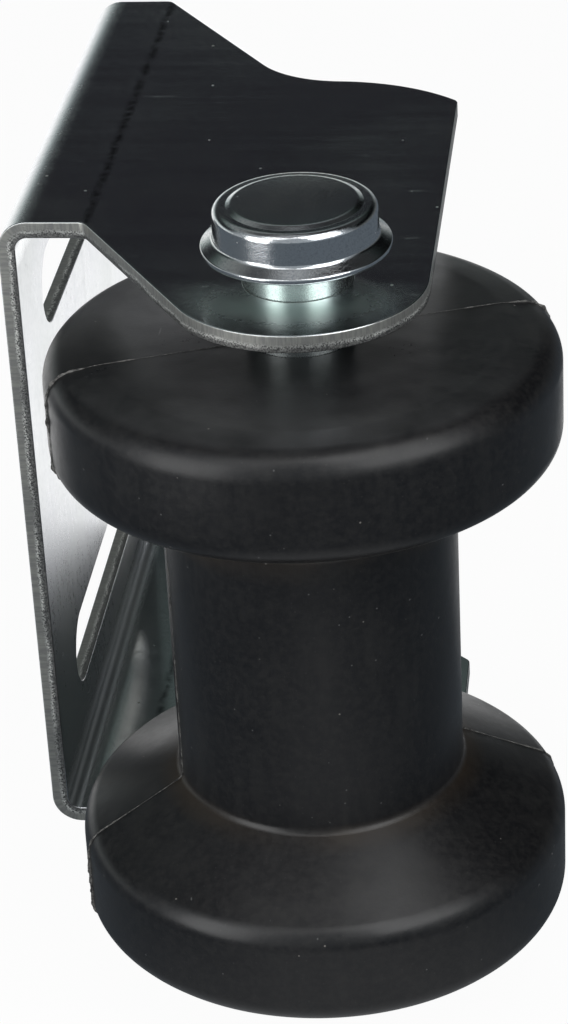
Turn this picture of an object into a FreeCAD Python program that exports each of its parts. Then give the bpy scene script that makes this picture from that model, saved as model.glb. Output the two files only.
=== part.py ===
import FreeCAD, Part
import math
import os
from FreeCAD import Vector

# A keel roller in its folded steel bracket, standing as it is used on end.
# The origin is the middle of the web's outer face, which bolts to a trailer's frame.
# +X runs from the web to the roller, +Y along the web away from the roller, +Z up along the shaft.
# Every size is in millimetres.

# Folded sheet
sheet_thickness = 2.66
inside_bend_radius = 2.0
web_length = 97.3          # along Y
fold_strip = 13.6          # straight strip of each arm beside the fold, from the web's outer face
corner_radius = 1.6        # rounding of the arms' cut corners

# Where the shaft stands
shaft_reach = 48.3         # from the web's outer face to the shaft's axis
shaft_lead = 20.0          # from the web's front edge forward to the shaft's axis

# Outline of each arm
nose_radius = 19.05        # round front end, about the shaft
side_length = 68.9         # straight side, from the shaft's axis back to the rear corner
crown_radius = 31.75       # outward curve beside the rear corner
crown_offset = 3.2         # its centre, from the shaft's axis towards the web
rear_taper_angle = 57.5    # of the rear edge, from square to the web, in degrees
hollow_radius = 16.8       # inward curve between the rear edge and the crown

# Mounting slots in the web
slot_width = 12.7
slot_length = 63.5
slot_spacing = 68.2        # between the two slots' middles

# Rubber roller
roller_diameter = 76.2
roller_length = 98.0
hub_diameter = 44.5
groove_length = 47.2       # straight hub between the feet of the two cones
rim_width = 16.8           # each flange's rim, from the end face to the top of its cone
rim_rounding = 3.4         # rounding of both edges of each rim
shoulder_radius = 30.5     # each end face is flat out to here
shoulder_drop = 0.9        # and falls this much from there to the rim
hub_fillet = 1.2
roller_play = 6.4          # how much longer the space between the arms is than the roller
roller_end_gap = 0.3       # between the roller and the lower arm that it has slid down to

# Shaft
shaft_diameter = 15.875
shaft_play = 5.2           # how far it can slide before the upper hat's brim meets the upper arm
shaft_chamfer = 0.8
running_clearance = 0.08   # on the radius, in the arms and in the roller

# Drawn hat over each end of the shaft
cap_sheet = 0.8
cap_diameter = 24.0
cap_height = 7.15
cap_rounding = 1.1         # of the top edge, outside
brim_diameter = 27.8
brim_height = 2.6          # from the brim's underside to the foot of the straight wall
brim_rounding = 0.55       # of the rolled outer edge
button_radius = 8.6        # flat top of the raised middle
button_edge = 10.2         # foot of its edge
button_rise = 0.6
cap_end_gap = 0.3          # between the lower hat's brim and the lower arm that rests on it

# Toothed spring washer held in each brim
retainer_thickness = 0.5
retainer_lip = 0.5         # thickness of the hem that holds it
retainer_lip_width = 1.3
retainer_ring = 2.9        # flat outer ring
tooth_rise = 0.9           # how far the teeth lean up towards the hat's top
tooth_count = 10
tooth_gap = 1.7
seat_clearance = 0.03      # between the washer and what holds it

UP = Vector(0, 0, 1)
shaft_x = shaft_reach
shaft_y = -web_length / 2 - shaft_lead
shaft_radius = shaft_diameter / 2
bore_radius = shaft_radius + running_clearance
arm_gap = roller_length + roller_play
arm_outside = arm_gap / 2 + sheet_thickness
outside_bend_radius = inside_bend_radius + sheet_thickness

roller_middle = -arm_gap / 2 + roller_end_gap + roller_length / 2
shaft_bottom = -arm_outside - cap_end_gap - (cap_height - cap_sheet)
shaft_top = arm_outside + shaft_play + (cap_height - cap_sheet)


def line(a, b):
    return Part.makeLine(a, b)


def arc_about(centre, radius, start, end):
    """Edge along a circle about a vertical axis, from one angle to another in degrees."""
    middle = math.radians((start + end) / 2)
    ends = [math.radians(start), math.radians(end)]
    a, m, b = [centre + Vector(radius * math.cos(t), radius * math.sin(t), 0) for t in (ends[0], middle, ends[1])]
    return Part.Arc(a, m, b).toShape()


def angle_of(vector):
    return math.degrees(math.atan2(vector.y, vector.x))


def lathe(profile):
    """Solid of revolution about the Z axis from a closed wire in the XZ plane."""
    return Part.Face(profile).revolve(Vector(0, 0, 0), UP, 360)


def rounded_profile(points):
    """Closed wire in the XZ plane. Each point is (radius, height, rounding of that corner)."""
    corners = [Vector(r, 0, z) for r, z, _ in points]
    edges = []
    starts, ends, arcs = [], [], []
    count = len(points)
    for i, (_, _, rounding) in enumerate(points):
        here = corners[i]
        before = (corners[i - 1] - here).normalize()
        after = (corners[(i + 1) % count] - here).normalize()
        half = before.getAngle(after) / 2
        reach = rounding / math.tan(half) if rounding else 0.0
        starts.append(here + before * reach)
        ends.append(here + after * reach)
        if rounding:
            inward = (before + after).normalize()
            middle = here + inward * (rounding / math.sin(half) - rounding)
            arcs.append(Part.Arc(starts[i], middle, ends[i]).toShape())
        else:
            arcs.append(None)
    for i in range(count):
        if arcs[i]:
            edges.append(arcs[i])
        edges.append(line(ends[i], starts[(i + 1) % count]))
    return Part.Wire(edges)


def arm_outline():
    """Closed outline of one arm, seen from above, from the fold strip's front corner round the nose and back."""
    front = Vector(fold_strip, -web_length / 2, 0)
    rear = Vector(fold_strip, web_length / 2, 0)
    axis = Vector(shaft_x, shaft_y, 0)

    # The front edge runs from the strip's corner to touch the nose's circle.
    to_front = front - axis
    spread = math.degrees(math.acos(nose_radius / to_front.Length))
    touch_angle = angle_of(to_front) + spread
    if touch_angle < 0:
        touch_angle += 360
    touch = axis + Vector(nose_radius * math.cos(math.radians(touch_angle)),
                          nose_radius * math.sin(math.radians(touch_angle)), 0)
    nose = arc_about(axis, nose_radius, touch_angle, 360)
    side_start = axis + Vector(nose_radius, 0, 0)
    side_end = side_start + Vector(0, side_length, 0)

    # The crown's circle passes through the rear corner.
    crown_x = shaft_x - crown_offset
    crown_drop = math.sqrt(crown_radius ** 2 - (side_end.x - crown_x) ** 2)
    crown = Vector(crown_x, side_end.y - crown_drop, 0)

    # The hollow's circle touches the rear edge and the crown.
    slope = math.radians(rear_taper_angle)
    along = Vector(math.cos(slope), -math.sin(slope), 0)
    outward = Vector(math.sin(slope), math.cos(slope), 0)
    offset = rear + outward * hollow_radius - crown
    reach = crown_radius + hollow_radius
    back = offset.dot(along)
    run = -back - math.sqrt(back ** 2 - offset.dot(offset) + reach ** 2)
    hollow = rear + along * run + outward * hollow_radius
    meet_crown = crown + (hollow - crown).normalize() * crown_radius
    meet_rear = rear + along * run

    crown_edge = arc_about(crown, crown_radius, angle_of(side_end - crown), angle_of(meet_crown - crown))
    hollow_start = angle_of(meet_crown - hollow)
    hollow_end = angle_of(meet_rear - hollow)
    if hollow_end > hollow_start:
        hollow_end -= 360
    hollow_edge = arc_about(hollow, hollow_radius, hollow_start, hollow_end)
    edges = [line(front, touch), nose, line(side_start, side_end), crown_edge, hollow_edge,
             line(meet_rear, rear), line(rear, front)]
    return Part.Wire(Part.sortEdges(edges)[0]), side_end


def folded_channel():
    """The web, the two bends and the strips beside them, as one length of folded sheet."""
    out, inn = outside_bend_radius, inside_bend_radius
    edge = arm_outside
    outer = [(fold_strip, edge, 0), (0, edge, out), (0, -edge, out), (fold_strip, -edge, 0)]
    inner = [(fold_strip, -edge + sheet_thickness, 0), (sheet_thickness, -edge + sheet_thickness, inn),
             (sheet_thickness, edge - sheet_thickness, inn), (fold_strip, edge - sheet_thickness, 0)]
    section = Part.Face(rounded_profile(outer + inner))
    section.translate(Vector(0, -web_length / 2, 0))
    return section.extrude(Vector(0, web_length, 0))


def slot_cutter(height):
    """Round-ended slot through the web, running along Y."""
    half = (slot_length - slot_width) / 2
    depth = sheet_thickness * 3
    start = -sheet_thickness
    radius = slot_width / 2
    box = Part.makeBox(depth, 2 * half, slot_width, Vector(start, -half, height - radius))
    ends = [Part.makeCylinder(radius, depth, Vector(start, y, height), Vector(1, 0, 0)) for y in (-half, half)]
    return box.fuse(ends)


def near(edge, x, y):
    """True for an upright edge that stands at the given place in plan."""
    a, b = edge.Vertexes[0].Point, edge.Vertexes[-1].Point
    upright = abs(a.x - b.x) < 1e-4 and abs(a.y - b.y) < 1e-4 and abs(a.z - b.z) > 1e-4
    return upright and math.hypot(a.x - x, a.y - y) < 1e-3


def make_bracket():
    outline, side_corner = arm_outline()
    plate = Part.Face(outline).extrude(UP * sheet_thickness)
    arms = []
    for height in (arm_gap / 2, -arm_outside):
        arm = plate.copy()
        arm.translate(UP * height)
        arms.append(arm)
    sheet = folded_channel().fuse(arms).removeSplitter()
    cutters = [slot_cutter(side * slot_spacing / 2) for side in (1, -1)]
    cutters.append(Part.makeCylinder(bore_radius, 2 * arm_outside + 2, Vector(shaft_x, shaft_y, -arm_outside - 1)))
    for cutter in cutters:
        sheet = sheet.cut(cutter)
    places = [(side_corner.x, side_corner.y), (fold_strip, -web_length / 2), (fold_strip, web_length / 2)]
    corners = [edge for edge in sheet.Edges for x, y in places if near(edge, x, y)]
    return sheet.makeFillet(corner_radius, corners)


def make_roller():
    outer, hub = roller_diameter / 2, hub_diameter / 2
    end = roller_length / 2
    rim_top = end - rim_width
    foot = groove_length / 2
    half = [(bore_radius, end, 0), (shoulder_radius, end, 0), (outer, end - shoulder_drop, rim_rounding),
            (outer, rim_top, rim_rounding), (hub, foot, hub_fillet)]
    mirrored = [(r, -z, rounding) for r, z, rounding in reversed(half)]
    roller = lathe(rounded_profile(half + mirrored))
    roller.translate(Vector(shaft_x, shaft_y, roller_middle))
    return roller


def make_shaft():
    r, c = shaft_radius, shaft_chamfer
    profile = [(0, shaft_bottom, 0), (r - c, shaft_bottom, 0), (r, shaft_bottom + c, 0),
               (r, shaft_top - c, 0), (r - c, shaft_top, 0), (0, shaft_top, 0)]
    shaft = lathe(rounded_profile(profile))
    shaft.translate(Vector(shaft_x, shaft_y, 0))
    return shaft


def make_cap():
    """Drawn hat with its brim's underside at height 0, closed at the top."""
    wall, brim = cap_diameter / 2, brim_diameter / 2
    ring = cap_height - button_rise
    skin = cap_sheet
    hem = retainer_lip
    pocket_top = hem + retainer_thickness + seat_clearance
    pocket = brim - brim_rounding
    lip = pocket - retainer_lip_width
    profile = [
        (0, cap_height, 0), (button_radius, cap_height, 0.5), (button_edge, ring, 0),
        (wall, ring, cap_rounding), (wall, brim_height, 0.7), (brim, hem + retainer_thickness, 0.3),
        (brim, 0, brim_rounding), (lip, 0, 0), (lip, hem, 0), (pocket, hem, 0), (pocket, pocket_top, 0),
        (wall - skin, brim_height - skin / 2, 0.3), (wall - skin, ring - skin, cap_rounding - skin),
        (button_radius, ring - skin, 0), (button_radius, cap_height - skin, 0), (0, cap_height - skin, 0),
    ]
    return lathe(rounded_profile(profile))


def make_retainer():
    """Spring washer in the brim's hem: a flat ring with teeth that lean up and in to bite the shaft."""
    outer = brim_diameter / 2 - brim_rounding - seat_clearance
    ring_inner = outer - retainer_ring
    bite = shaft_radius + seat_clearance
    low = retainer_lip
    high = low + retainer_thickness
    disc = lathe(rounded_profile([
        (outer, low, 0), (outer, high, 0), (ring_inner, high, 0), (bite, high + tooth_rise, 0),
        (bite, low + tooth_rise, 0), (ring_inner, low, 0)]))
    tall = tooth_rise + 3 * retainer_thickness
    root = (bite + ring_inner) / 2 + tooth_gap / 2
    for i in range(tooth_count):
        gap = Part.makeBox(root, tooth_gap, tall, Vector(0, -tooth_gap / 2, 0))
        gap = gap.fuse(Part.makeCylinder(tooth_gap / 2, tall, Vector(root, 0, 0)))
        gap.rotate(Vector(0, 0, 0), UP, i * 360 / tooth_count)
        disc = disc.cut(gap)
    return disc


def seat_on_shaft(piece, top):
    """Puts a hat or its washer on the shaft's top end, or turned over on its bottom end."""
    placed = piece.copy()
    brim_level = cap_height - cap_sheet
    if top:
        placed.translate(Vector(shaft_x, shaft_y, shaft_top - brim_level))
    else:
        placed.rotate(Vector(0, 0, 0), Vector(1, 0, 0), 180)
        placed.translate(Vector(shaft_x, shaft_y, shaft_bottom + brim_level))
    return placed


cap = make_cap()
retainer = make_retainer()
nodes = {
    "bracket": make_bracket(),
    "roller": make_roller(),
    "shaft": make_shaft(),
    "upper_cap": seat_on_shaft(cap, True),
    "lower_cap": seat_on_shaft(cap, False),
    "upper_retainer": seat_on_shaft(retainer, True),
    "lower_retainer": seat_on_shaft(retainer, False),
}

os.makedirs("parts", exist_ok=True)
for name, shape in nodes.items():
    solid = shape.Solids[0] if len(shape.Solids) == 1 else shape
    print(name, "valid", solid.isValid(), "solids", len(shape.Solids), "cm3", round(solid.Volume / 1000, 2))
    solid.exportStep(f"parts/{name}.step")
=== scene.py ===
import bpy
import bmesh
import math
from mathutils import Matrix, Vector


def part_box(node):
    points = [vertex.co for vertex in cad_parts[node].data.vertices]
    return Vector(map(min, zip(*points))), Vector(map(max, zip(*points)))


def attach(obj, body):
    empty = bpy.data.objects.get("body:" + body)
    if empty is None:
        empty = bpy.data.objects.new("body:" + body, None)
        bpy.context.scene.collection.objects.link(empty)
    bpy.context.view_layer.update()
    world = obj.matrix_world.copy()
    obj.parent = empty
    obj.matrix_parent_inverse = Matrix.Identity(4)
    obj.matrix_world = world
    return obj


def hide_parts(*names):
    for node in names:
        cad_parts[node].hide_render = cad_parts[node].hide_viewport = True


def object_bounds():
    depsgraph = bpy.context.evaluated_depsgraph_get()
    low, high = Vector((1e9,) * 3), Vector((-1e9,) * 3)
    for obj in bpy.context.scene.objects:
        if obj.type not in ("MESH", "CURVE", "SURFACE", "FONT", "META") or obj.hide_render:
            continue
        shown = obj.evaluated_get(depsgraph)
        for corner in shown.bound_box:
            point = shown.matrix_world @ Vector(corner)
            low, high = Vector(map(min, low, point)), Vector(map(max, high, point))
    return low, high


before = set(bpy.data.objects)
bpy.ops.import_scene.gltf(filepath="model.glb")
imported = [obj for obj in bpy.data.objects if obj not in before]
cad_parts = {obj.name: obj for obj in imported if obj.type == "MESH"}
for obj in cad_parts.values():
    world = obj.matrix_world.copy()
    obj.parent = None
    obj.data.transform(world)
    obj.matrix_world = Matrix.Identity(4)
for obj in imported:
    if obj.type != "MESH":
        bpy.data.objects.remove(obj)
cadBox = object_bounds()
print("frame loaded")

mm = 0.001
sheetThickness = 2.66 * mm
rollerLow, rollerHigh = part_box("roller")
shaftLow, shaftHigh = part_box("shaft")
_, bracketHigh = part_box("bracket")
axisX = (shaftLow.x + shaftHigh.x) / 2
axisY = (shaftLow.y + shaftHigh.y) / 2
shaftRadius = (shaftHigh.x - shaftLow.x) / 2


# Small tools for node trees, used by the finishes and by Geometry Nodes alike

def addNode(tree, kind, inputs=None, **settings):
    made = tree.nodes.new(kind)
    for key, value in settings.items():
        setattr(made, key, value)
    for key, value in (inputs or {}).items():
        if isinstance(value, bpy.types.NodeSocket):
            tree.links.new(value, made.inputs[key])
        else:
            made.inputs[key].default_value = value
    return made


def maths(tree, operation, first, second=0.0):
    return addNode(tree, "ShaderNodeMath", {0: first, 1: second}, operation=operation).outputs[0]


def product(tree, first, *others):
    for other in others:
        first = maths(tree, "MULTIPLY", first, other)
    return first


def farFrom(tree, value, middle):
    return maths(tree, "ABSOLUTE", maths(tree, "SUBTRACT", value, middle))


def spread(tree, value, low, high, toLow=0.0, toHigh=1.0):
    inputs = {"Value": value, "From Min": low, "From Max": high, "To Min": toLow, "To Max": toHigh}
    return addNode(tree, "ShaderNodeMapRange", inputs).outputs["Result"]


def parts(tree, vector):
    return addNode(tree, "ShaderNodeSeparateXYZ", {0: vector}).outputs


def combined(tree, x=0.0, y=0.0, z=0.0):
    return addNode(tree, "ShaderNodeCombineXYZ", {"X": x, "Y": y, "Z": z}).outputs[0]


# Points (x, y, rounding) become a fine outline, with every arc in steps of so many degrees
def roundedOutline(corners, closed=True, step=5.0):
    outline = []
    last = len(corners) - 1
    for i, (x, y, rounding) in enumerate(corners):
        here = Vector((x, y))
        if not rounding or (not closed and i in (0, last)):
            outline.append(here)
            continue
        toBefore = (Vector(corners[i - 1][:2]) - here).normalized()
        toAfter = (Vector(corners[(i + 1) % len(corners)][:2]) - here).normalized()
        half = toBefore.angle(toAfter) / 2
        centre = here + (toBefore + toAfter).normalized() * (rounding / math.sin(half))
        start = here + toBefore * (rounding / math.tan(half)) - centre
        sweep = math.copysign(math.pi - 2 * half, -toBefore.cross(toAfter))
        count = max(2, math.ceil(abs(math.degrees(sweep)) / step))
        outline += [centre + Matrix.Rotation(sweep * k / count, 2) @ start for k in range(count + 1)]
    return outline


def flatCurve(name, outlines, closed=True):
    curve = bpy.data.curves.new(name, "CURVE")
    for outline in outlines:
        spline = curve.splines.new("POLY")
        spline.points.add(len(outline) - 1)
        for point, (x, y) in zip(spline.points, outline):
            point.co = (x, y, 0, 1)
        spline.use_cyclic_u = closed
    return addPiece(name, curve)


# A radius and height profile, from the top outwards and down, as a curve for the turning tree
def profileCurve(name, corners, closed=True, step=8.0):
    curve = flatCurve(name, [[(r, -z) for r, z in roundedOutline(corners, closed, step)]], closed)
    curve.data.dimensions = "3D"
    return curve


def newTree(name, inputs):
    tree = bpy.data.node_groups.new(name, "GeometryNodeTree")
    tree.interface.new_socket("Geometry", in_out="INPUT", socket_type="NodeSocketGeometry")
    for label, kind in inputs.items():
        tree.interface.new_socket(label, in_out="INPUT", socket_type="NodeSocket" + kind)
    tree.interface.new_socket("Geometry", in_out="OUTPUT", socket_type="NodeSocketGeometry")
    return tree, tree.nodes.new("NodeGroupInput").outputs


# Every tree ends the same way: realized, given its material, and handed out
def endTree(tree, geometry, material):
    real = addNode(tree, "GeometryNodeRealizeInstances", {"Geometry": geometry}).outputs[0]
    smooth = addNode(tree, "GeometryNodeSetShadeSmooth", {"Geometry": real}).outputs[0]
    done = addNode(tree, "GeometryNodeSetMaterial", {"Geometry": smooth, "Material": material}).outputs[0]
    addNode(tree, "NodeGroupOutput", {"Geometry": done})
    return tree


def merged(tree, geometry, distance):
    inputs = {"Geometry": geometry, "Distance": distance}
    return addNode(tree, "GeometryNodeMergeByDistance", inputs).outputs[0]


def addPiece(name, data):
    made = bpy.data.objects.new(name, data)
    bpy.context.scene.collection.objects.link(made)
    return made


# Runs a tree on an object and keeps the result as a plain mesh
def buildWith(tree, source, name, values, sharpAngle=40):
    modifier = source.modifiers.new("build", "NODES")
    modifier.node_group = tree
    for item in tree.interface.items_tree:
        if item.in_out == "INPUT" and item.name in values:
            modifier[item.identifier] = values[item.name]
    graph = bpy.context.evaluated_depsgraph_get()
    mesh = bpy.data.meshes.new_from_object(source.evaluated_get(graph))
    bpy.data.objects.remove(source)
    mesh.set_sharp_from_angle(angle=math.radians(sharpAngle))
    return addPiece(name, mesh)


def dress(piece, body, slot, *nodes):
    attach(piece, body)
    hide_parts(*nodes)


# Tools for the finishes

def newFinish(name):
    material = bpy.data.materials.new(name)
    material.use_nodes = True
    tree = material.node_tree
    place = addNode(tree, "ShaderNodeTexCoord").outputs["Object"]
    return material, tree, tree.nodes["Principled BSDF"], place


def noise(tree, place, scale, detail=2.0, roughness=0.5):
    inputs = {"Vector": place, "Scale": scale, "Detail": detail, "Roughness": roughness}
    return addNode(tree, "ShaderNodeTexNoise", inputs).outputs["Fac"]


def stretched(tree, place, scale, turn=(0, 0, 0)):
    return addNode(tree, "ShaderNodeMapping", {"Vector": place, "Scale": scale, "Rotation": turn}).outputs[0]


def mixColor(tree, amount, first, second):
    made = addNode(tree, "ShaderNodeMix", data_type="RGBA")
    for index, value in ((0, amount), (6, first), (7, second)):    # the share and the two colours
        if isinstance(value, bpy.types.NodeSocket):
            tree.links.new(value, made.inputs[index])
        else:
            made.inputs[index].default_value = value if index == 0 else (*value, 1)
    return made.outputs[2]


def addBump(tree, height, distance, strength=1.0, below=None):
    inputs = {"Height": height, "Distance": distance, "Strength": strength}
    if below:
        inputs["Normal"] = below
    return addNode(tree, "ShaderNodeBump", inputs).outputs[0]


# Small bright dots, as dust or pinholes: one in some of the cells
def specks(tree, place, scale, size, share):
    cells = addNode(tree, "ShaderNodeTexVoronoi", {"Vector": place, "Scale": scale}).outputs
    dot = spread(tree, cells["Distance"], size, size * 0.5)
    lot = addNode(tree, "ShaderNodeSeparateColor", {0: cells["Color"]}).outputs[0]
    return product(tree, dot, maths(tree, "LESS_THAN", lot, share))


# Where a point of the bracket lay on its flat blank: across the folds, along them, and through the sheet
def blankPlace(tree):
    return addNode(tree, "ShaderNodeAttribute", attribute_name="blank").outputs["Vector"]


# Black rubber, with worn patches, dust, a painted highlight on the upper flange's top, and fine scratches

rubberLook = {
    "colour": (0.0055, 0.0055, 0.0065),
    "worn": (0.019, 0.0185, 0.018),
    "mottle": (0.016, 0.0152, 0.0148),
    "mottleShare": 0.55,
    "dustAndPaintedHighlight": (0.032, 0.032, 0.033),      # pale dust on the upper flange's top, with a painted highlight towards the front
    "dustAndHighlightReach": 26 * mm,               # from the shaft forward to where it is strongest
    "brown": (0.034, 0.024, 0.015),     # dust in the corners beside the hub
    "corner": 24 * mm,                  # their height above and below the roller's middle
    "cornerReach": 1.6 * mm,
    "cornerShare": 0.6,
    "cornerTop": 2 * mm,                # how far up into it the dust below the upper flange fades
    "under": 5 * mm,                    # how far down from the upper corner it hangs
    "dust": (0.15, 0.14, 0.13),
    "scratch": (0.07, 0.07, 0.07),
    "scratches": ((0.5, 0.1), (-0.9, 0.07)),    # direction in radians, and share
    "roughness": (0.29, 0.42),
    "mottleDull": 0.03,
    "specular": 0.48,
    "sheen": 0.06,
    "sheenRoughness": 0.25,
    "sheenTint": (0.62, 0.58, 0.54, 1),
    "grainDepth": 0.012 * mm,
    "dentDepth": 0.07 * mm,
    "waveDepth": 0.3 * mm,
}


def blackRubber(look):
    material, tree, shader, place = newFinish("black rubber")
    clouds = noise(tree, place, 45, 4)
    smears = noise(tree, stretched(tree, place, (300, 300, 40)), 1, 3)
    mottle = noise(tree, place, 900, 5, 0.7)
    worn = product(tree, spread(tree, clouds, 0.45, 0.75), spread(tree, smears, 0.45, 0.7))
    colour = mixColor(tree, worn, look["colour"], look["worn"])
    mottled = spread(tree, mottle, 0.42, 0.66, 0.0, look["mottleShare"])
    colour = mixColor(tree, mottled, colour, look["mottle"])

    # A pale coat on the flange's top: dust, and a painted highlight that is strongest towards the front
    spot = parts(tree, place)
    facing = parts(tree, addNode(tree, "ShaderNodeNewGeometry").outputs["Normal"])["Z"]
    # The coat grows towards the front: that gradient is a painted highlight
    forward = spread(tree, spot["Y"], axisY, axisY - look["dustAndHighlightReach"], 0.15, 1.0)
    patches = spread(tree, noise(tree, place, 70, 5, 0.6), 0.35, 0.65)
    dustAndPaintedHighlight = product(tree, spread(tree, facing, 0.88, 0.99), forward, patches)
    colour = mixColor(tree, dustAndPaintedHighlight, colour, look["dustAndPaintedHighlight"])

    # Brown dust gathers in the corners beside the hub, and below the upper flange
    corner = look["corner"]
    level = maths(tree, "SUBTRACT", spot["Z"], (rollerLow.z + rollerHigh.z) / 2)
    fromCorner = farFrom(tree, maths(tree, "ABSOLUTE", level), corner)
    inCorner = spread(tree, fromCorner, look["cornerReach"], 0.0, 0.0, look["cornerShare"])
    below = product(tree, spread(tree, level, corner - look["under"], corner),
                    spread(tree, level, corner + look["cornerTop"], corner))
    gathered = product(tree, maths(tree, "MAXIMUM", inCorner, below), spread(tree, clouds, 0.35, 0.6))
    colour = mixColor(tree, gathered, colour, look["brown"])

    # Specks of dust, and short fine scratches in two directions
    colour = mixColor(tree, specks(tree, place, 520, 0.1, 0.06), colour, look["dust"])
    colour = mixColor(tree, specks(tree, place, 1300, 0.2, 0.12), colour, look["worn"])
    for turn, amount in look["scratches"]:
        along = stretched(tree, place, (1, 0.1, 1), (0, 0, turn))
        colour = mixColor(tree, specks(tree, along, 600, 0.1, amount), colour, look["scratch"])
    tree.links.new(colour, shader.inputs["Base Color"])

    dull = maths(tree, "ADD", spread(tree, clouds, 0.3, 0.7, *look["roughness"]),
                 spread(tree, mottle, 0.35, 0.65, -look["mottleDull"], look["mottleDull"]))
    tree.links.new(dull, shader.inputs["Roughness"])
    shader.inputs["Specular IOR Level"].default_value = look["specular"]
    shader.inputs["Sheen Weight"].default_value = look["sheen"]
    shader.inputs["Sheen Roughness"].default_value = look["sheenRoughness"]
    shader.inputs["Sheen Tint"].default_value = look["sheenTint"]
    grain = addBump(tree, noise(tree, place, 2200, 3), look["grainDepth"], 0.7)
    dents = addBump(tree, noise(tree, place, 190, 4), look["dentDepth"], 0.5, grain)
    waves = addBump(tree, noise(tree, place, 75, 2), look["waveDepth"], 0.5, dents)
    tree.links.new(waves, shader.inputs["Normal"])
    return material


tornLook = {"dark": (0.03, 0.03, 0.03), "pale": (0.2, 0.195, 0.185), "roughness": (0.5, 0.75),
            "specular": 0.3, "depth": 0.05 * mm}


def tornRubber(look):
    material, tree, shader, place = newFinish("torn rubber edge")
    torn = noise(tree, place, 1800, 4)
    colour = mixColor(tree, spread(tree, torn, 0.35, 0.65), look["dark"], look["pale"])
    tree.links.new(colour, shader.inputs["Base Color"])
    tree.links.new(spread(tree, torn, 0.3, 0.7, *look["roughness"]), shader.inputs["Roughness"])
    shader.inputs["Specular IOR Level"].default_value = look["specular"]
    tree.links.new(addBump(tree, torn, look["depth"], 0.7), shader.inputs["Normal"])
    return material


# Bright zinc: cloudy colour, faint lines left by the tool that made the piece, a fine grain and a few specks

hatLook = {
    "colour": (0.7, 0.74, 0.79), "tint": (0.74, 0.74, 0.72), "roughness": (0.08, 0.17),
    "lines": (60, 60, 1600), "lineDepth": 0.003 * mm, "grainScale": 4600, "grainDepth": 0.013 * mm,
    "crystals": 0.38, "crystalColour": (0.32, 0.34, 0.39), "crystalScale": 3200,
    "speck": (0.95, 0.95, 0.95), "speckScale": 900, "speckShare": 0.06,
}
barLook = {
    "colour": (0.66, 0.72, 0.72), "tint": (0.7, 0.72, 0.7), "roughness": (0.2, 0.3),
    "lines": (50, 50, 1700), "lineDepth": 0.004 * mm, "grainScale": 3000, "grainDepth": 0.005 * mm,
    "crystals": 0.25, "crystalColour": (0.4, 0.46, 0.46), "crystalScale": 3600,
    "speck": (0.95, 0.95, 0.95), "speckScale": 900, "speckShare": 0.06,
}


def brightZinc(name, look):
    material, tree, shader, place = newFinish(name)
    shader.inputs["Metallic"].default_value = 1.0
    clouds = noise(tree, place, 32, 3)
    lines = noise(tree, stretched(tree, place, look["lines"]), 1, 4)
    crystals = noise(tree, place, look["crystalScale"], 3, 0.65)
    spots = specks(tree, place, look["speckScale"], 0.12, look["speckShare"])
    colour = mixColor(tree, spread(tree, clouds, 0.35, 0.65), look["colour"], look["tint"])
    crystalShare = spread(tree, crystals, 0.48, 0.66, 0.0, look["crystals"])
    colour = mixColor(tree, crystalShare, colour, look["crystalColour"])
    tree.links.new(mixColor(tree, spots, colour, look["speck"]), shader.inputs["Base Color"])

    lined = spread(tree, lines, 0.35, 0.8, 0.0, 0.5)
    dull = maths(tree, "ADD", lined, spread(tree, clouds, 0.45, 0.75, 0.0, 0.5))
    rough = spread(tree, dull, 0.0, 1.0, *look["roughness"])
    rough = maths(tree, "ADD", rough, spread(tree, crystals, 0.4, 0.62, 0.0, look["crystals"] * 0.3))
    rough = maths(tree, "ADD", rough, product(tree, spots, 0.35))
    tree.links.new(rough, shader.inputs["Roughness"])
    grain = addBump(tree, noise(tree, place, look["grainScale"], 2), look["grainDepth"])
    tree.links.new(addBump(tree, lines, look["lineDepth"], below=grain), shader.inputs["Normal"])
    return material, tree, shader, place


# The bracket's faces: bright zinc with the marks of folding and of use, and a painted reflection on the nose

sheetLook = {
    "colour": (0.72, 0.73, 0.76), "tint": (0.74, 0.76, 0.76), "roughness": (0.1, 0.17),
    "lines": (25, 500, 25), "lineDepth": 0.0015 * mm, "grainScale": 1100, "grainDepth": 0.0012 * mm,
    "crystals": 0.12, "crystalColour": (0.5, 0.54, 0.54), "crystalScale": 1300,
    "speck": (0.95, 0.95, 0.92), "speckScale": 420, "speckShare": 0.08,
    "brakeLine": 13.9 * mm,         # the dull line's place, from the web's outer face
    "brakeWidth": 1.0 * mm,
    "brakeCore": 0.1 * mm,
    "brakeWander": 0.14 * mm,
    "brakeColour": (0.12, 0.12, 0.13),
    "bendStart": 49.5 * mm,         # on the flat blank, from the web's middle
    "bendEnd": 56.5 * mm,
    "bendFade": 1.5 * mm,
    "faceFade": 0.3 * mm,           # from the sheet's middle, to tell its inner face from its outer one
    "bendDull": (0.12, 0.24),       # outside and inside
    "webFade": 3 * mm,
    "webDull": 0.16,                # the web's inner face
    "nose": 12 * mm,                # radius of the haze about the shaft
    "noseFade": 1.7,
    "noseFront": 10 * mm,
    # the nose's teal tint and its share: a painted reflection
    "paintedReflectionTint": (0.6, 0.76, 0.71),
    "paintedReflectionShare": 0.8,
    "hazeDull": 0.25,
    "rubbedDull": 0.15,
}


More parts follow.
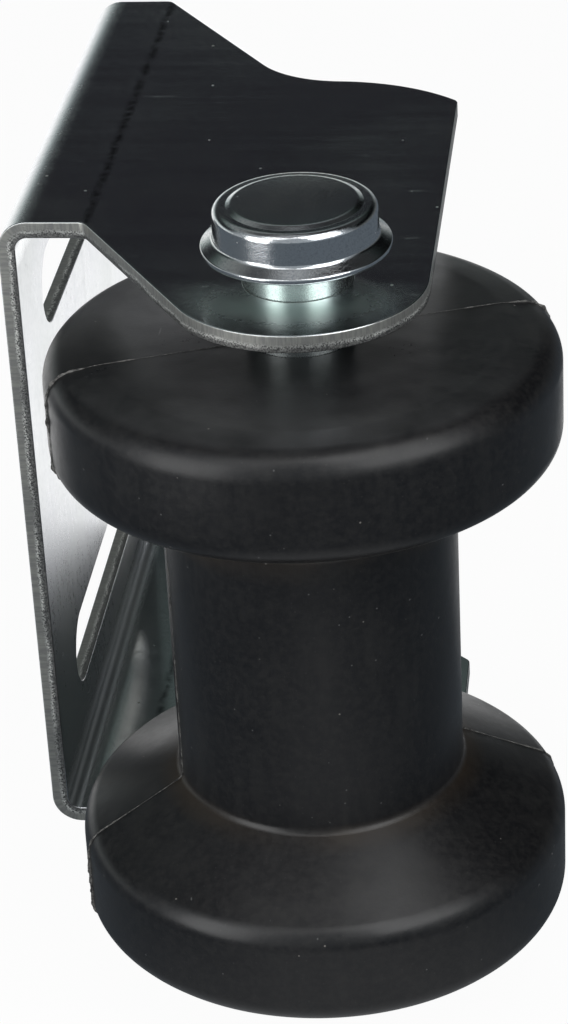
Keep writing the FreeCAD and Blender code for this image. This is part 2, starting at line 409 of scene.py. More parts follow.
def zincSheet(look):
    material, tree, shader, place = brightZinc("bright zinc on sheet", look)
    base = shader.inputs["Base Color"].links[0].from_socket
    rough = shader.inputs["Roughness"].links[0].from_socket

    # The press brake left a dull line on each arm where its die ended
    spot = parts(tree, place)
    wander = spread(tree, noise(tree, place, 90, 3), 0.3, 0.7, -look["brakeWander"], look["brakeWander"])
    fromLine = farFrom(tree, maths(tree, "ADD", spot["X"], wander), look["brakeLine"])
    broken = spread(tree, noise(tree, place, 700, 3), 0.4, 0.58, 0.15, 0.8)
    mark = product(tree, spread(tree, fromLine, look["brakeWidth"], look["brakeCore"]), broken)
    base = mixColor(tree, mark, base, look["brakeColour"])

    # The bends are a little duller, where the zinc stretched, and so is the web's inner face
    blank = parts(tree, blankPlace(tree))
    u = maths(tree, "ABSOLUTE", blank["X"])
    inside = spread(tree, blank["Z"], look["faceFade"], -look["faceFade"])
    bend = product(tree, spread(tree, u, look["bendStart"], look["bendStart"] + look["bendFade"]),
                   spread(tree, u, look["bendEnd"], look["bendEnd"] - look["bendFade"]),
                   spread(tree, inside, 0.0, 1.0, *look["bendDull"]))
    web = product(tree, inside, spread(tree, u, look["bendStart"], look["bendStart"] - look["webFade"]))

    # Round the shaft the nose is hazy and duller, and rubbed in places; its teal tint towards the front is a
    # painted reflection
    x = maths(tree, "SUBTRACT", spot["X"], axisX)
    y = maths(tree, "SUBTRACT", spot["Y"], axisY)
    fromShaft = maths(tree, "SQRT", maths(tree, "ADD", product(tree, x, x), product(tree, y, y)))
    nose = product(tree, spread(tree, fromShaft, look["nose"] * look["noseFade"], look["nose"]),
                   spread(tree, y, 0.0, -look["noseFront"]))
    base = mixColor(tree, product(tree, nose, look["paintedReflectionShare"]), base, look["paintedReflectionTint"])
    rubs = noise(tree, stretched(tree, place, (120, 420, 120), (0, 0, 0.3)), 1, 4, 0.6)
    rubbed = spread(tree, rubs, 0.68, 0.8)
    duller = ((nose, look["hazeDull"]), (rubbed, look["rubbedDull"]), (bend, 1.0), (web, look["webDull"]))
    for share, amount in duller:
        rough = maths(tree, "ADD", rough, product(tree, share, amount))
    tree.links.new(base, shader.inputs["Base Color"])
    tree.links.new(rough, shader.inputs["Roughness"])
    return material


# A sheared edge has a smooth band beside the face that the punch entered, a bright burr, and torn metal

edgeLook = {
    "band": (0.4, 0.4, 0.37),
    "torn": (0.3, 0.3, 0.29),
    "dark": (0.07, 0.07, 0.07),
    "burr": (0.9, 0.9, 0.86),
    "border": -0.2,          # where the band ends, from -1 at the inner face to 1 at the outer one
    "waver": 0.2,
    "ragged": 0.12,
    "metallic": 0.8,
    "roughness": (0.42, 0.58),
    "crumbDepth": 0.04 * mm,
    "streakDepth": 0.02 * mm,
}


def shearedEdge(look):
    material, tree, shader, _ = newFinish("sheared edge")
    shader.inputs["Metallic"].default_value = look["metallic"]
    blank = blankPlace(tree)
    border, waver, ragged = look["border"], look["waver"], look["ragged"]
    across = product(tree, parts(tree, blank)["Z"], 2 / sheetThickness)
    streaks = noise(tree, stretched(tree, blank, (2600, 2600, 300)), 1, 3, 0.6)
    crumbs = noise(tree, blank, 4200, 3, 0.6)
    clouds = noise(tree, blank, 110, 3)
    drift = spread(tree, noise(tree, stretched(tree, blank, (160, 160, 20)), 1, 2), 0.3, 0.7, -waver, waver)
    crumbled = spread(tree, crumbs, 0.3, 0.7, -ragged, ragged)
    level = maths(tree, "ADD", maths(tree, "ADD", across, drift), crumbled)
    torn = mixColor(tree, spread(tree, crumbs, 0.38, 0.62), look["dark"], look["torn"])
    smooth = mixColor(tree, spread(tree, streaks, 0.38, 0.62), look["torn"], look["band"])
    colour = mixColor(tree, spread(tree, level, border - 0.2, border + 0.3), torn, smooth)
    burr = product(tree, spread(tree, farFrom(tree, level, border), 0.34, 0.04),
                   spread(tree, crumbs, 0.42, 0.54), spread(tree, clouds, 0.38, 0.55, 0.3, 1.0))
    rim = product(tree, spread(tree, across, 0.82, 0.97), spread(tree, streaks, 0.3, 0.6, 0.1, 0.8))
    colour = mixColor(tree, maths(tree, "MAXIMUM", burr, rim), colour, look["burr"])
    tree.links.new(colour, shader.inputs["Base Color"])
    tree.links.new(spread(tree, clouds, 0.3, 0.7, *look["roughness"]), shader.inputs["Roughness"])
    rough = addBump(tree, crumbs, look["crumbDepth"], 0.8)
    tree.links.new(addBump(tree, streaks, look["streakDepth"], 0.8, rough), shader.inputs["Normal"])
    return material


springLook = {"dark": (0.13, 0.13, 0.14), "pale": (0.3, 0.3, 0.31), "roughness": (0.28, 0.45),
              "depth": 0.01 * mm}


def springSteel(look):
    material, tree, shader, place = newFinish("spring steel")
    shader.inputs["Metallic"].default_value = 1.0
    clouds = noise(tree, place, 200, 4)
    tree.links.new(mixColor(tree, clouds, look["dark"], look["pale"]), shader.inputs["Base Color"])
    tree.links.new(spread(tree, clouds, 0.3, 0.7, *look["roughness"]), shader.inputs["Roughness"])
    tree.links.new(addBump(tree, noise(tree, place, 1800, 2), look["depth"], 0.6), shader.inputs["Normal"])
    return material


rubber = blackRubber(rubberLook)
tornEdge = tornRubber(tornLook)
sheetZinc = zincSheet(sheetLook)
cutEdge = shearedEdge(edgeLook)
hatZinc = brightZinc("bright zinc on drawn hats", hatLook)[0]
barZinc = brightZinc("bright zinc on bar", barLook)[0]
spring = springSteel(springLook)
print("finishes made")


# The bracket is made as a flat blank with rounded edges, and then folded, as the real one is

bracketSizes = {
    "thickness": sheetThickness,
    "insideBend": 2.0 * mm,
    "edgeRounding": 0.22 * mm,
    "cornerRounding": 1.6 * mm,
    "foldStrip": 13.6 * mm,
    "noseRadius": 19.05 * mm,
    "noseCorner": (67.35 * mm, -135.88 * mm),    # where the front edge would meet the side edge
    "sideCorner": (67.35 * mm, 0.25 * mm),
    "crownRadius": 29.8 * mm,    # a little under the drawing's, to leave room for the corner before it
    "crownCorner": (58.84 * mm, 8.61 * mm),
    "hollowRadius": 16.8 * mm,
    "hollowCorner": (38.35 * mm, 9.79 * mm),
    "slotWidth": 12.7 * mm,
    "slotLength": 63.5 * mm,
    "slotHeight": 34.1 * mm,
    "holeClearance": 0.08 * mm,
    "bendSteps": 14,
}


# A box about a middle, with the same rounding on its four corners
def roundedBox(u, v, halfU, halfV, rounding):
    left, right, front, back = u - halfU, u + halfU, v - halfV, v + halfV
    corners = ((left, front), (left, back), (right, back), (right, front))
    return roundedOutline([(*corner, rounding) for corner in corners], step=3)


def makeBracket(s):
    outsideBend = s["insideBend"] + s["thickness"]
    middleBend = s["insideBend"] + s["thickness"] / 2
    webFlat = bracketHigh.z - outsideBend        # the web's middle to the start of a bend
    bendRun = middleBend * math.pi / 2
    webEnd = bracketHigh.y
    armStart = webFlat + bendRun

    def unfold(x):
        return armStart + x - outsideBend

    arm = [(s["foldStrip"], -webEnd, s["cornerRounding"]), (*s["noseCorner"], s["noseRadius"]),
           (*s["sideCorner"], s["cornerRounding"]), (*s["crownCorner"], s["crownRadius"]),
           (*s["hollowCorner"], s["hollowRadius"]), (s["foldStrip"], webEnd, s["cornerRounding"])]
    upper = [(unfold(x), y, rounding) for x, y, rounding in arm]
    lower = [(-u, v, rounding) for u, v, rounding in reversed(upper)]
    outlines = [roundedOutline(upper + lower, step=2.5)]
    hole = shaftRadius + s["holeClearance"]
    slotRadius = s["slotWidth"] / 2
    for side in (1, -1):
        outlines.append(roundedBox(side * unfold(axisX), axisY, hole, hole, hole))
        outlines.append(roundedBox(side * s["slotHeight"], 0, slotRadius, s["slotLength"] / 2, slotRadius))

    blank = flatCurve("blank", outlines)
    blank.data.dimensions = "2D"
    blank.data.fill_mode = "BOTH"
    blank.data.bevel_depth = s["edgeRounding"]
    blank.data.bevel_resolution = 2
    blank.data.offset = -s["edgeRounding"]
    blank.data.extrude = s["thickness"] / 2 - s["edgeRounding"]
    graph = bpy.context.evaluated_depsgraph_get()
    mesh = bpy.data.meshes.new_from_object(blank.evaluated_get(graph))
    bpy.data.objects.remove(blank)

    # Lines across the bends, so that the sheet can turn there
    shape = bmesh.new()
    shape.from_mesh(mesh)
    bmesh.ops.remove_doubles(shape, verts=shape.verts, dist=0.002 * mm)
    for side in (1, -1):
        for k in range(s["bendSteps"] + 1):
            place = (side * (webFlat + bendRun * k / s["bendSteps"]), 0, 0)
            everything = shape.verts[:] + shape.edges[:] + shape.faces[:]
            bmesh.ops.bisect_plane(shape, geom=everything, dist=0.001 * mm,
                                   plane_co=place, plane_no=(1, 0, 0))
    bmesh.ops.recalc_face_normals(shape, faces=shape.faces)
    shape.to_mesh(mesh)
    shape.free()

    # The wide faces keep their own direction right up to the rounded edges
    flat = addPiece("flat_bracket", mesh)
    mesh.shade_smooth()
    flat.modifiers.new("even", "WEIGHTED_NORMAL").weight = 100
    graph = bpy.context.evaluated_depsgraph_get()
    mesh = bpy.data.meshes.new_from_object(flat.evaluated_get(graph), preserve_all_data_layers=True,
                                           depsgraph=graph)
    bpy.data.objects.remove(flat)
    for polygon in mesh.polygons:
        polygon.material_index = 0 if abs(polygon.normal.z) > 0.6 else 1

    # Directions along the blank's u and w axes once it is folded
    def turned(u):
        side = 1 if u > 0 else -1
        angle = min(max((abs(u) - webFlat) / bendRun, 0), 1) * math.pi / 2
        along = Vector((side * math.sin(angle), 0, math.cos(angle)))
        out = Vector((-math.cos(angle), 0, side * math.sin(angle)))
        return side, along, out

    normals = []
    for polygon in mesh.polygons:
        wide = abs(polygon.normal.z) > 0.999
        for index in polygon.loop_indices:
            _, along, out = turned(mesh.vertices[mesh.loops[index].vertex_index].co.x)
            straightOut = Vector((0, 0, math.copysign(1, polygon.normal.z)))
            n = straightOut if wide else mesh.corner_normals[index].vector
            normals.append((along * n.x + Vector((0, n.y, 0)) + out * n.z).normalized())
    kept = mesh.attributes.new("blank", "FLOAT_VECTOR", "POINT")
    for vertex, keptPlace in zip(mesh.vertices, kept.data):
        u, v, w = keptPlace.vector = vertex.co.copy()
        side, along, out = turned(u)
        if abs(u) <= webFlat:
            place = Vector((s["thickness"] / 2, v, u))
        else:
            straight = max(abs(u) - armStart, 0)
            place = Vector((outsideBend, v, side * webFlat)) + out * middleBend + along * side * straight
        vertex.co = place + out * w
    mesh.materials.append(sheetZinc)
    mesh.materials.append(cutEdge)
    mesh.normals_split_custom_set(normals)
    return addPiece("folded_sheet", mesh)


dress(makeBracket(bracketSizes), "bracket", "zinc_sheet", "bracket")
print("bracket folded")


# Turned and moulded pieces share one tree: it turns a profile about the shaft's axis, not quite evenly

def turningTree():
    tree, given = newTree("turned_piece", {
        "Axis": "Vector", "Steps": "Int", "Unevenness": "Float", "Patch Scale": "Float",
        "Material": "Material"})
    ring = 10 * mm      # the path's radius, which the profile is moved in by, so that any will do
    size = {"Resolution": given["Steps"], "Radius": ring}
    circle = addNode(tree, "GeometryNodeCurvePrimitiveCircle", size).outputs[0]
    path = addNode(tree, "GeometryNodeSetCurveNormal", {"Curve": circle}, mode="Z_UP").outputs[0]
    moveIn = {"Geometry": given["Geometry"], "Offset": (-ring, 0, 0)}
    inward = addNode(tree, "GeometryNodeSetPosition", moveIn).outputs[0]
    skin = addNode(tree, "GeometryNodeCurveToMesh", {"Curve": path, "Profile Curve": inward}).outputs[0]
    closed = merged(tree, skin, 0.001 * mm)
    place = addNode(tree, "GeometryNodeInputPosition").outputs[0]
    out = addNode(tree, "GeometryNodeInputNormal").outputs[0]
    patches = noise(tree, place, given["Patch Scale"], 2)
    depth = product(tree, patches, product(tree, given["Unevenness"], -1))
    sink = addNode(tree, "ShaderNodeVectorMath", {0: out, "Scale": depth}, operation="SCALE").outputs[0]
    shift = addNode(tree, "ShaderNodeVectorMath", {0: sink, 1: given["Axis"]}, operation="ADD").outputs[0]
    moved = addNode(tree, "GeometryNodeSetPosition", {"Geometry": closed, "Offset": shift}).outputs[0]
    return endTree(tree, moved, given["Material"])


turning = turningTree()


def turnPiece(name, corners, material, s, closed=True, step=8.0, sharpAngle=40):
    profile = profileCurve(name + "_profile", corners, closed, step)
    values = {"Axis": (axisX, axisY, 0), "Steps": s["steps"], "Unevenness": s["unevenness"],
              "Patch Scale": s["patchScale"], "Material": material}
    return buildWith(turning, profile, name, values, sharpAngle)


# Rubber roller, with the line and the ragged flash that its two-part mould left

rollerSizes = {
    "boreClearance": 0.08 * mm,
    "hubRadius": 22.25 * mm,
    "grooveHalf": 23.6 * mm,
    "rimWidth": 16.8 * mm,
    "rimRounding": 4.3 * mm,
    "shoulderRadius": 30.5 * mm,
    "shoulderRounding": 9 * mm,
    "shoulderDrop": 0.9 * mm,
    "hubFillet": 1.4 * mm,
    "unevenness": 0.12 * mm,
    "patchScale": 45.0,
    "steps": 240,
    "partingAngle": math.radians(20.5),
    "flashThickness": 0.34 * mm,
    "flashHeight": 0.46 * mm,
    "flashStep": 0.3 * mm,
    "flashRimStart": 33 * mm,    # the radius from which the flash grows towards the rim
    "flashRimGrowth": 4 * mm,    # and how much further out it has its full height
    "flashSeed": 4.0,
}


def rollerHalf(s):
    outer = (rollerHigh.x - rollerLow.x) / 2
    end = (rollerHigh.z - rollerLow.z) / 2
    return [(shaftRadius + s["boreClearance"], end, 0),
            (s["shoulderRadius"], end, s["shoulderRounding"]),
            (outer, end - s["shoulderDrop"], s["rimRounding"]),
            (outer, end - s["rimWidth"], s["rimRounding"]),
            (s["hubRadius"], s["grooveHalf"], s["hubFillet"])]


def rollerCorners(s):
    middle = (rollerHigh.z + rollerLow.z) / 2
    half = rollerHalf(s)
    both = half + [(r, -z, rounding) for r, z, rounding in reversed(half)]
    return [(r, z + middle, rounding) for r, z, rounding in both]


roller = turnPiece("moulded_roller", rollerCorners(rollerSizes), rubber, rollerSizes, step=6.0, sharpAngle=50)
dress(roller, "roller", "black_rubber", "roller")


def flashTree():
    tree, given = newTree("parting_flash", {
        "Axis": "Vector", "Angle": "Float", "Thickness": "Float", "Height": "Float", "Step": "Float",
        "Rim Start": "Float", "Rim Growth": "Float", "Seed": "Float", "Material": "Material"})
    spaced = {"Curve": given["Geometry"], "Length": given["Step"]}
    line = addNode(tree, "GeometryNodeResampleCurve", spaced, mode="LENGTH").outputs[0]
    path = addNode(tree, "GeometryNodeSetCurveNormal", {"Curve": line}, mode="Z_UP").outputs[0]

    # The fin's section, from a root in the rubber to a thin tip
    height = given["Height"]
    thin = product(tree, given["Thickness"], 0.5)
    root = product(tree, height, -0.5)
    fin = addNode(tree, "GeometryNodeCurvePrimitiveQuadrilateral", mode="POINTS")
    section = ((root, thin), (root, product(tree, thin, -1)),
               (height, product(tree, thin, -0.3)), (height, product(tree, thin, 0.3)))
    for number, (x, y) in enumerate(section, 1):
        tree.links.new(combined(tree, x, y), fin.inputs["Point " + str(number)])

    # Its size changes along the line, and it is torn here and there
    def seeded(scale, detail):
        inputs = {"Vector": place, "W": given["Seed"], "Scale": scale, "Detail": detail}
        return addNode(tree, "ShaderNodeTexNoise", inputs, noise_dimensions="4D").outputs["Fac"]

    place = addNode(tree, "GeometryNodeInputPosition").outputs[0]
    rimStart = given["Rim Start"]
    rimFull = maths(tree, "ADD", rimStart, given["Rim Growth"])
    onRim = spread(tree, parts(tree, place)["X"], rimStart, rimFull, 0.4, 1.0)
    wide = spread(tree, seeded(160, 1), 0.4, 0.68, 0.3, 1.5)
    torn = spread(tree, seeded(900, 2), 0.35, 0.65, 0.3, 1.0)
    swept = {"Curve": path, "Profile Curve": fin.outputs[0], "Scale": product(tree, wide, torn, onRim),
             "Fill Caps": True}
    strip = addNode(tree, "GeometryNodeCurveToMesh", swept).outputs[0]
    raised = {"Geometry": strip, "Rotation": (-math.pi / 2, 0, 0)}
    upright = addNode(tree, "GeometryNodeTransform", raised).outputs[0]
    bothSides = addNode(tree, "GeometryNodeJoinGeometry")
    for side in (0, math.pi):
        turn = combined(tree, z=maths(tree, "ADD", given["Angle"], side))
        turned = {"Geometry": upright, "Rotation": turn, "Translation": given["Axis"]}
        tree.links.new(addNode(tree, "GeometryNodeTransform", turned).outputs[0], bothSides.inputs[0])
    return endTree(tree, bothSides.outputs[0], given["Material"])


def makeFlash(s):
    line = profileCurve("flash_line", rollerCorners(s), closed=False, step=6.0)
    values = {"Axis": (axisX, axisY, 0), "Angle": s["partingAngle"], "Thickness": s["flashThickness"],
              "Height": s["flashHeight"], "Step": s["flashStep"], "Rim Start": s["flashRimStart"],
              "Rim Growth": s["flashRimGrowth"], "Seed": s["flashSeed"], "Material": tornEdge}
    return buildWith(flashTree(), line, "mould_flash", values, 60)


flash = makeFlash(rollerSizes)
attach(flash, "roller")
print("roller moulded")


# Shaft

shaftSizes = {"chamfer": 0.8 * mm, "chamferRounding": 0.2 * mm, "steps": 128,
              "unevenness": 0.0, "patchScale": 60.0}


def makeShaft(s):
    r, c, rounding = shaftRadius, s["chamfer"], s["chamferRounding"]
    top, bottom = shaftHigh.z, shaftLow.z
    corners = [(0, top, 0), (r - c, top, rounding), (r, top - c, rounding), (r, bottom + c, rounding),
               (r - c, bottom, rounding), (0, bottom, 0)]
    return turnPiece("shaft_bar", corners, barZinc, s, closed=False)


dress(makeShaft(shaftSizes), "shaft", "zinc_shaft", "shaft")
print("shaft turned")


# Drawn hats on the shaft's ends

hatSizes = {
    "sheet": 0.8 * mm,
    "wallRadius": 12 * mm,
    "height": 7.15 * mm,
    "buttonRise": 0.4 * mm,
    "buttonRadius": 9.1 * mm,
    "buttonRounding": 1.1 * mm,
    "buttonFoot": 9.9 * mm,
    "footRounding": 0.2 * mm,
    "ringRounding": 1.25 * mm,
    "brimRadius": 13.9 * mm,
    "brimHeight": 2.0 * mm,
    "brimRounding": 0.7 * mm,
    "flareHeight": 0.9 * mm,
    "flareRounding": 0.35 * mm,
    "hem": 0.5 * mm,
    "hemWidth": 1.3 * mm,
    "hemRounding": 0.45 * mm,
    "lipRounding": (0.15 * mm, 0.1 * mm),    # below and above
    "pocket": 0.55 * mm,
    "pocketHeight": 0.53 * mm,
    "insideRounding": 0.3 * mm,
    "unevenness": 0.02 * mm,
    "patchScale": 90.0,
    "steps": 160,
}


# From the middle of the top outwards and down, round the hem, and back up inside
def hatCorners(s):
    ring = s["height"] - s["buttonRise"]
    wall, brim, skin, inside = s["wallRadius"], s["brimRadius"], s["sheet"], s["insideRounding"]
    lip = brim - s["pocket"] - s["hemWidth"]
    pocketTop = s["hem"] + s["pocketHeight"]
    return [
        (0, s["height"], 0),
        (s["buttonRadius"], s["height"], s["buttonRounding"]),
        (s["buttonFoot"], ring, s["footRounding"]),
        (wall, ring, s["ringRounding"]),
        (wall, s["brimHeight"], s["brimRounding"]),
        (brim, s["flareHeight"], s["flareRounding"]),
        (brim, 0, s["hemRounding"]),
        (lip, 0, s["lipRounding"][0]),
        (lip, s["hem"], s["lipRounding"][1]),
        (brim - s["pocket"], s["hem"], 0),
        (brim - s["pocket"], pocketTop, 0),
        (wall - skin, s["brimHeight"] - skin / 2, inside),
        (wall - skin, ring - skin, inside),
        (s["buttonRadius"] - skin, ring - skin, 0),
        (s["buttonRadius"] - skin, s["height"] - skin, 0),
        (0, s["height"] - skin, 0)]


def makeHat(name, brimLevel, up, s):
    corners = [(r, brimLevel + up * z, rounding) for r, z, rounding in hatCorners(s)]
    if up < 0:
        corners.reverse()      # so that the turned skin still faces outwards
    return turnPiece(name, corners, hatZinc, s, closed=False, step=9.0)


upperLow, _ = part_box("upper_cap")
_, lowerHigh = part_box("lower_cap")
dress(makeHat("upper_hat", upperLow.z, 1, hatSizes), "shaft", "zinc_cap", "upper_cap")
dress(makeHat("lower_hat", lowerHigh.z, -1, hatSizes), "shaft", "zinc_cap", "lower_cap")
print("hats drawn")


# Toothed spring washers: a flat ring with one tooth repeated round it

washerSizes = {
    "outer": 13.32 * mm,
    "inner": 10.42 * mm,
    "bite": 7.97 * mm,      # radius of the teeth's tips, which grip the shaft
    "thickness": 0.5 * mm,
    "rise": 0.9 * mm,
    "teeth": 10,
    "gap": 1.7 * mm,
}


def washerTree():
    tree, given = newTree("toothed_washer", {
        "Axis": "Vector", "Outer": "Float", "Inner": "Float", "Bite": "Float", "Thickness": "Float",
        "Rise": "Float", "Teeth": "Int", "Gap": "Float", "Flip": "Float", "Material": "Material"})
    step = maths(tree, "DIVIDE", math.pi, given["Teeth"])    # half of one tooth's share of the turn

    # A grid bent round the axis: across is 0 to 1 outwards, and the grid's Y is -0.5 to 0.5 around
    def sector(inner, outer, gap, rise, columns, rows):
        size = {"Size X": 1.0, "Size Y": 1.0, "Vertices X": columns, "Vertices Y": rows}
        grid = addNode(tree, "GeometryNodeMeshGrid", size).outputs[0]
        spot = parts(tree, addNode(tree, "GeometryNodeInputPosition").outputs[0])
        across = maths(tree, "ADD", spot["X"], 0.5)
        radius = maths(tree, "ADD", inner, product(tree, across, maths(tree, "SUBTRACT", outer, inner)))
        halfAngle = maths(tree, "SUBTRACT", step, maths(tree, "DIVIDE", product(tree, gap, 0.5), radius))
        angle = product(tree, spot["Y"], 2, halfAngle)
        x = product(tree, radius, maths(tree, "COSINE", angle))
        y = product(tree, radius, maths(tree, "SINE", angle))
        bent = combined(tree, x, y, product(tree, maths(tree, "SUBTRACT", 1.0, across), rise))
        return addNode(tree, "GeometryNodeSetPosition", {"Geometry": grid, "Position": bent}).outputs[0]

    def joined(*pieces):
        made = addNode(tree, "GeometryNodeJoinGeometry")
        for piece in pieces:
            tree.links.new(piece, made.inputs[0])
        return made.outputs[0]

    tooth = sector(given["Bite"], given["Inner"], given["Gap"], given["Rise"], 6, 9)
    flatPart = sector(given["Inner"], given["Outer"], 0.0, 0.0, 4, 9)
    points = addNode(tree, "GeometryNodePoints", {"Count": given["Teeth"]}).outputs[0]
    index = addNode(tree, "GeometryNodeInputIndex").outputs[0]
    repeated = {"Points": points, "Instance": joined(tooth, flatPart),
                "Rotation": combined(tree, z=product(tree, index, product(tree, step, 2)))}
    around = addNode(tree, "GeometryNodeInstanceOnPoints", repeated).outputs[0]
    real = addNode(tree, "GeometryNodeRealizeInstances", {"Geometry": around}).outputs[0]
    sheet = merged(tree, real, 0.01 * mm)
    raised = {"Mesh": sheet, "Offset": (0, 0, 1), "Offset Scale": given["Thickness"], "Individual": False}
    thick = addNode(tree, "GeometryNodeExtrudeMesh", raised).outputs[0]
    underside = addNode(tree, "GeometryNodeFlipFaces", {"Mesh": sheet}).outputs[0]
    whole = merged(tree, joined(thick, underside), 0.01 * mm)
    placing = {"Geometry": whole, "Rotation": combined(tree, given["Flip"]), "Translation": given["Axis"]}
    return endTree(tree, addNode(tree, "GeometryNodeTransform", placing).outputs[0], given["Material"])


washers = washerTree()


def makeWasher(name, level, flip, s):
    source = addPiece(name + "_start", bpy.data.meshes.new(name + "_start"))
    values = {"Axis": (axisX, axisY, level), "Outer": s["outer"], "Inner": s["inner"], "Bite": s["bite"],
              "Thickness": s["thickness"], "Rise": s["rise"], "Teeth": s["teeth"], "Gap": s["gap"],
              "Flip": flip, "Material": spring}
    return buildWith(washers, source, name, values, 35)


upperRing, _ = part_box("upper_retainer")
_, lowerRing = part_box("lower_retainer")
upperWasher = makeWasher("upper_washer", upperRing.z, 0.0, washerSizes)
lowerWasher = makeWasher("lower_washer", lowerRing.z, math.pi, washerSizes)
dress(upperWasher, "shaft", "spring_steel", "upper_retainer")
dress(lowerWasher, "shaft", "spring_steel", "lower_retainer")
print("washers toothed")


# Camera, at the photograph's view of the roller's middle

cameraSizes = {
    "azimuth": 7.61,
    "elevation": 28.98,
    "roll": -3.11,
    "distance": 475.7 * mm,
    "aimRight": 4.76 * mm,
    "aimUp": -16.82 * mm,
    "lens": 109.17,
    "sensor": 36,
    "nearest": 10 * mm,
}


# The way to a point at an angle to the right of the front and a height, both in degrees
def wayTo(angle, height):
    turn, rise = math.radians(angle), math.radians(height)
    return Vector((math.sin(turn) * math.cos(rise), -math.cos(turn) * math.cos(rise), math.sin(rise)))


def makeCamera(s):
    back = wayTo(s["azimuth"], s["elevation"])
    azimuth = math.radians(s["azimuth"])
    level = Vector((math.cos(azimuth), math.sin(azimuth), 0))
    right = Matrix.Rotation(math.radians(s["roll"]), 3, back) @ level
    up = back.cross(right)
    middle = (rollerLow + rollerHigh) / 2
    place = middle + back * s["distance"] - right * s["aimRight"] - up * s["aimUp"]
    data = bpy.data.cameras.new("photo_view")
    data.sensor_fit = "VERTICAL"
    data.sensor_height = s["sensor"]
    data.lens = s["lens"]
    data.clip_start = s["nearest"]
    camera = addPiece("photo_view", data)
    camera.matrix_world = Matrix.Translation(place) @ Matrix((right, up, back)).transposed().to_4x4()
    bpy.context.scene.camera = camera


makeCamera(cameraSizes)


# Studio: a white floor, a dark room with a glow along its horizon, and soft panels

studioSizes = {
    "floorSide": 6.0,
    "floorWhite": 0.96,
    "floorMirror": 0.98,
    "darkFloor": (0.08, 0.095, 0.11),    # the rest of the floor as metal mirrors it, like a dark card
    "whiteGlow": 1.3,                    # the white floor as metal mirrors it
    "cardTurn": math.radians(5),
    "gapStart": (0.0, 0.08),             # the white floor behind the object fades in between these
    "gapLeft": -0.05,                    # and lies between dark cards on both sides
    "gapRight": 0.1,
    "gapFade": 0.07,
    "gapLean": 0.8,                      # how much the left card turns away with distance
    "nearStart": (-0.25, -0.16),         # a painted pool of light on the floor in front, brighter than the card, seen only in reflections
    "nearEnd": (-0.08, -0.11),
    "nearMiddle": 0.05,
    "nearSide": (0.07, 0.02),
    "paintedPoolLight": 0.3,
    "roomGlow": (                        # the room behind the object, by height
        (0.0, (0.95, 0.96, 0.96)), (0.06, (0.9, 0.93, 0.93)), (0.14, (0.62, 0.7, 0.69)),
        (0.23, (0.17, 0.21, 0.21)), (0.3, (0.018, 0.018, 0.021)), (0.48, (0.016, 0.016, 0.019)),
        (0.58, (0.1, 0.135, 0.125)), (0.66, (0.22, 0.24, 0.24)), (0.8, (0.18, 0.19, 0.19)),
        (0.9, (0.04, 0.043, 0.046)), (0.95, (0.08, 0.083, 0.086)), (1.0, (0.6, 0.62, 0.63))),
    "glowSide": (-0.05, 0.3),            # how far right it keeps its strength, and where it has faded
    "glowRest": 0.13,                    # what is left of it there
    "frontGlow": (0.36, 0.39, 0.41),     # the camera's side of the room, low down
    "frontTop": (0.03, 0.033, 0.036),    # and overhead
    "frontFade": (0.97, 0.78),
    "sides": (-0.25, 0.15),              # where the front of the room gives way to the back
}


def rayShare(tree):
    rays = addNode(tree, "ShaderNodeLightPath").outputs
    return rays["Is Camera Ray"], maths(tree, "MAXIMUM", rays["Is Glossy Ray"], rays["Is Transmission Ray"])


def makeFloor(s):
    half = s["floorSide"] / 2
    level = cadBox[0].z
    corners = [(-half, -half, level), (half, -half, level), (half, half, level), (-half, half, level)]
    mesh = bpy.data.meshes.new("floor")
    mesh.from_pydata(corners, [], [(0, 1, 2, 3)])
    material, tree, shader, place = newFinish("white floor")
    shader.inputs["Base Color"].default_value = (0.8, 0.8, 0.8, 1)
    shader.inputs["Roughness"].default_value = 0.9
    seen, mirrored = rayShare(tree)
    spot = parts(tree, stretched(tree, place, (1, 1, 1), (0, 0, -s["cardTurn"])))
    leaning = maths(tree, "ADD", spot["X"], product(tree, spot["Y"], s["gapLean"]))
    gap = product(tree, spread(tree, spot["Y"], *s["gapStart"]),
                  spread(tree, leaning, s["gapLeft"] - s["gapFade"], s["gapLeft"]),
                  spread(tree, spot["X"], s["gapRight"] + s["gapFade"], s["gapRight"]))
    # A painted pool of light on the floor in front, for mirrored rays only
    near = product(tree, spread(tree, spot["Y"], *s["nearStart"]), s["paintedPoolLight"],
                   spread(tree, spot["Y"], *s["nearEnd"]),
                   spread(tree, farFrom(tree, spot["X"], s["nearMiddle"]), *s["nearSide"]))
    bare = maths(tree, "MAXIMUM", seen, maths(tree, "MAXIMUM", gap, near))
    shade = mixColor(tree, bare, s["darkFloor"], (1, 1, 1))
    strength = spread(tree, seen, 0.0, 1.0, s["whiteGlow"], 1.0)
    glow = addNode(tree, "ShaderNodeEmission", {"Color": shade, "Strength": strength}).outputs[0]
    share = maths(tree, "MAXIMUM", product(tree, seen, s["floorWhite"]),
                  product(tree, mirrored, s["floorMirror"]))
    mixed = addNode(tree, "ShaderNodeMixShader", {0: share, 1: shader.outputs[0], 2: glow}).outputs[0]
    tree.links.new(mixed, tree.nodes["Material Output"].inputs["Surface"])
    mesh.materials.append(material)
    addPiece("floor", mesh)


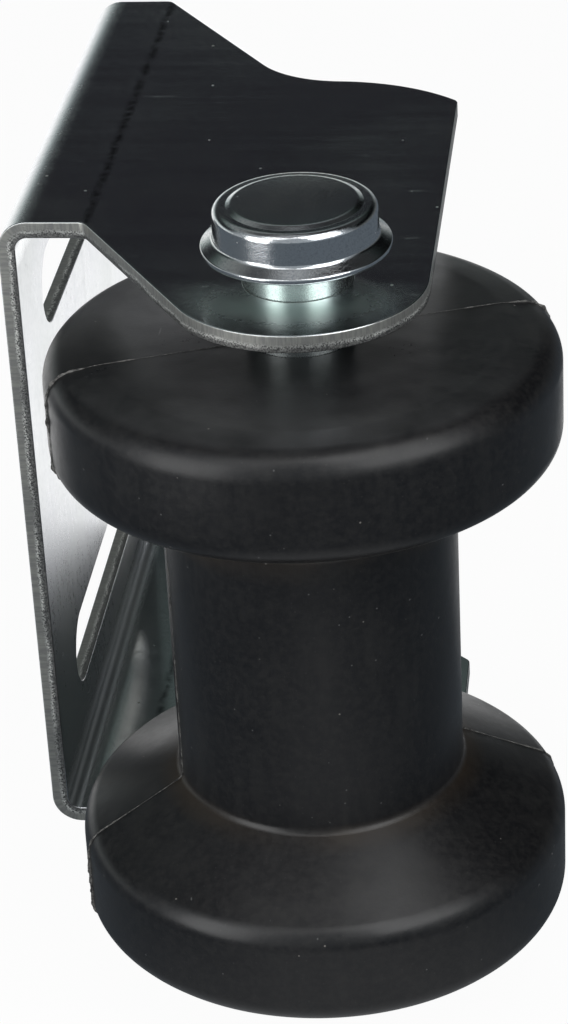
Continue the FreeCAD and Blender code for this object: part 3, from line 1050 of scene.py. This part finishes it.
def makeWorld(s):
    world = bpy.data.worlds.new("studio")
    world.use_nodes = True
    bpy.context.scene.world = world
    tree = world.node_tree
    tree.nodes.clear()
    way = parts(tree, addNode(tree, "ShaderNodeTexCoord").outputs["Generated"])
    room = addNode(tree, "ShaderNodeValToRGB", {0: way["Z"]})
    stops = room.color_ramp.elements
    while len(stops) < len(s["roomGlow"]):
        stops.new(0.5)
    for stop, (position, colour) in zip(stops, s["roomGlow"]):
        stop.position = position
        stop.color = (*colour, 1)
    dim = spread(tree, way["X"], *s["glowSide"], 1.0, s["glowRest"])
    dimmed = {0: room.outputs["Color"], "Scale": dim}
    glow = addNode(tree, "ShaderNodeVectorMath", dimmed, operation="SCALE").outputs[0]
    front = mixColor(tree, spread(tree, way["Z"], *s["frontFade"]), s["frontTop"], s["frontGlow"])
    colour = mixColor(tree, spread(tree, way["Y"], *s["sides"]), front, glow)
    seen, _ = rayShare(tree)
    colour = mixColor(tree, seen, colour, (1, 1, 1))
    shine = addNode(tree, "ShaderNodeBackground", {"Color": colour, "Strength": 1.0}).outputs[0]
    addNode(tree, "ShaderNodeOutputWorld", {"Surface": shine})


# Each panel's angle to the right of the view and height in degrees, its distance, width and length in metres,
# and how many times as bright as a white sheet it is
panelSizes = {
    "left_panel": {"angle": -52, "height": 14, "distance": 0.32, "size": (0.18, 0.3), "glow": 2.6},
    "right_panel": {"angle": 42, "height": 30, "distance": 0.5, "size": (0.34, 0.24), "glow": 2.8},
    "upper_left_panel": {"angle": -38, "height": 57, "distance": 0.6, "size": (0.26, 0.3), "glow": 1.3},
    "upper_right_panel": {"angle": 44, "height": 61, "distance": 0.6, "size": (0.4, 0.32), "glow": 2.7},
}
panelAim = Vector((axisX, axisY, 30 * mm))


def makePanel(name, s):
    data = bpy.data.lights.new(name, "AREA")
    data.shape = "RECTANGLE"
    width, length = s["size"]
    data.size = width
    data.size_y = length
    data.energy = s["glow"] * math.pi * width * length
    lamp = addPiece(name, data)
    toLamp = wayTo(cameraSizes["azimuth"] + s["angle"], s["height"])
    lamp.location = panelAim + toLamp * s["distance"]
    lamp.rotation_euler = toLamp.to_track_quat("Z", "Y").to_euler()
    lamp.visible_camera = False


makeFloor(studioSizes)
makeWorld(studioSizes)
for panelName, sizes in panelSizes.items():
    makePanel(panelName, sizes)
bpy.context.scene.view_settings.view_transform = "Standard"
print("studio set")
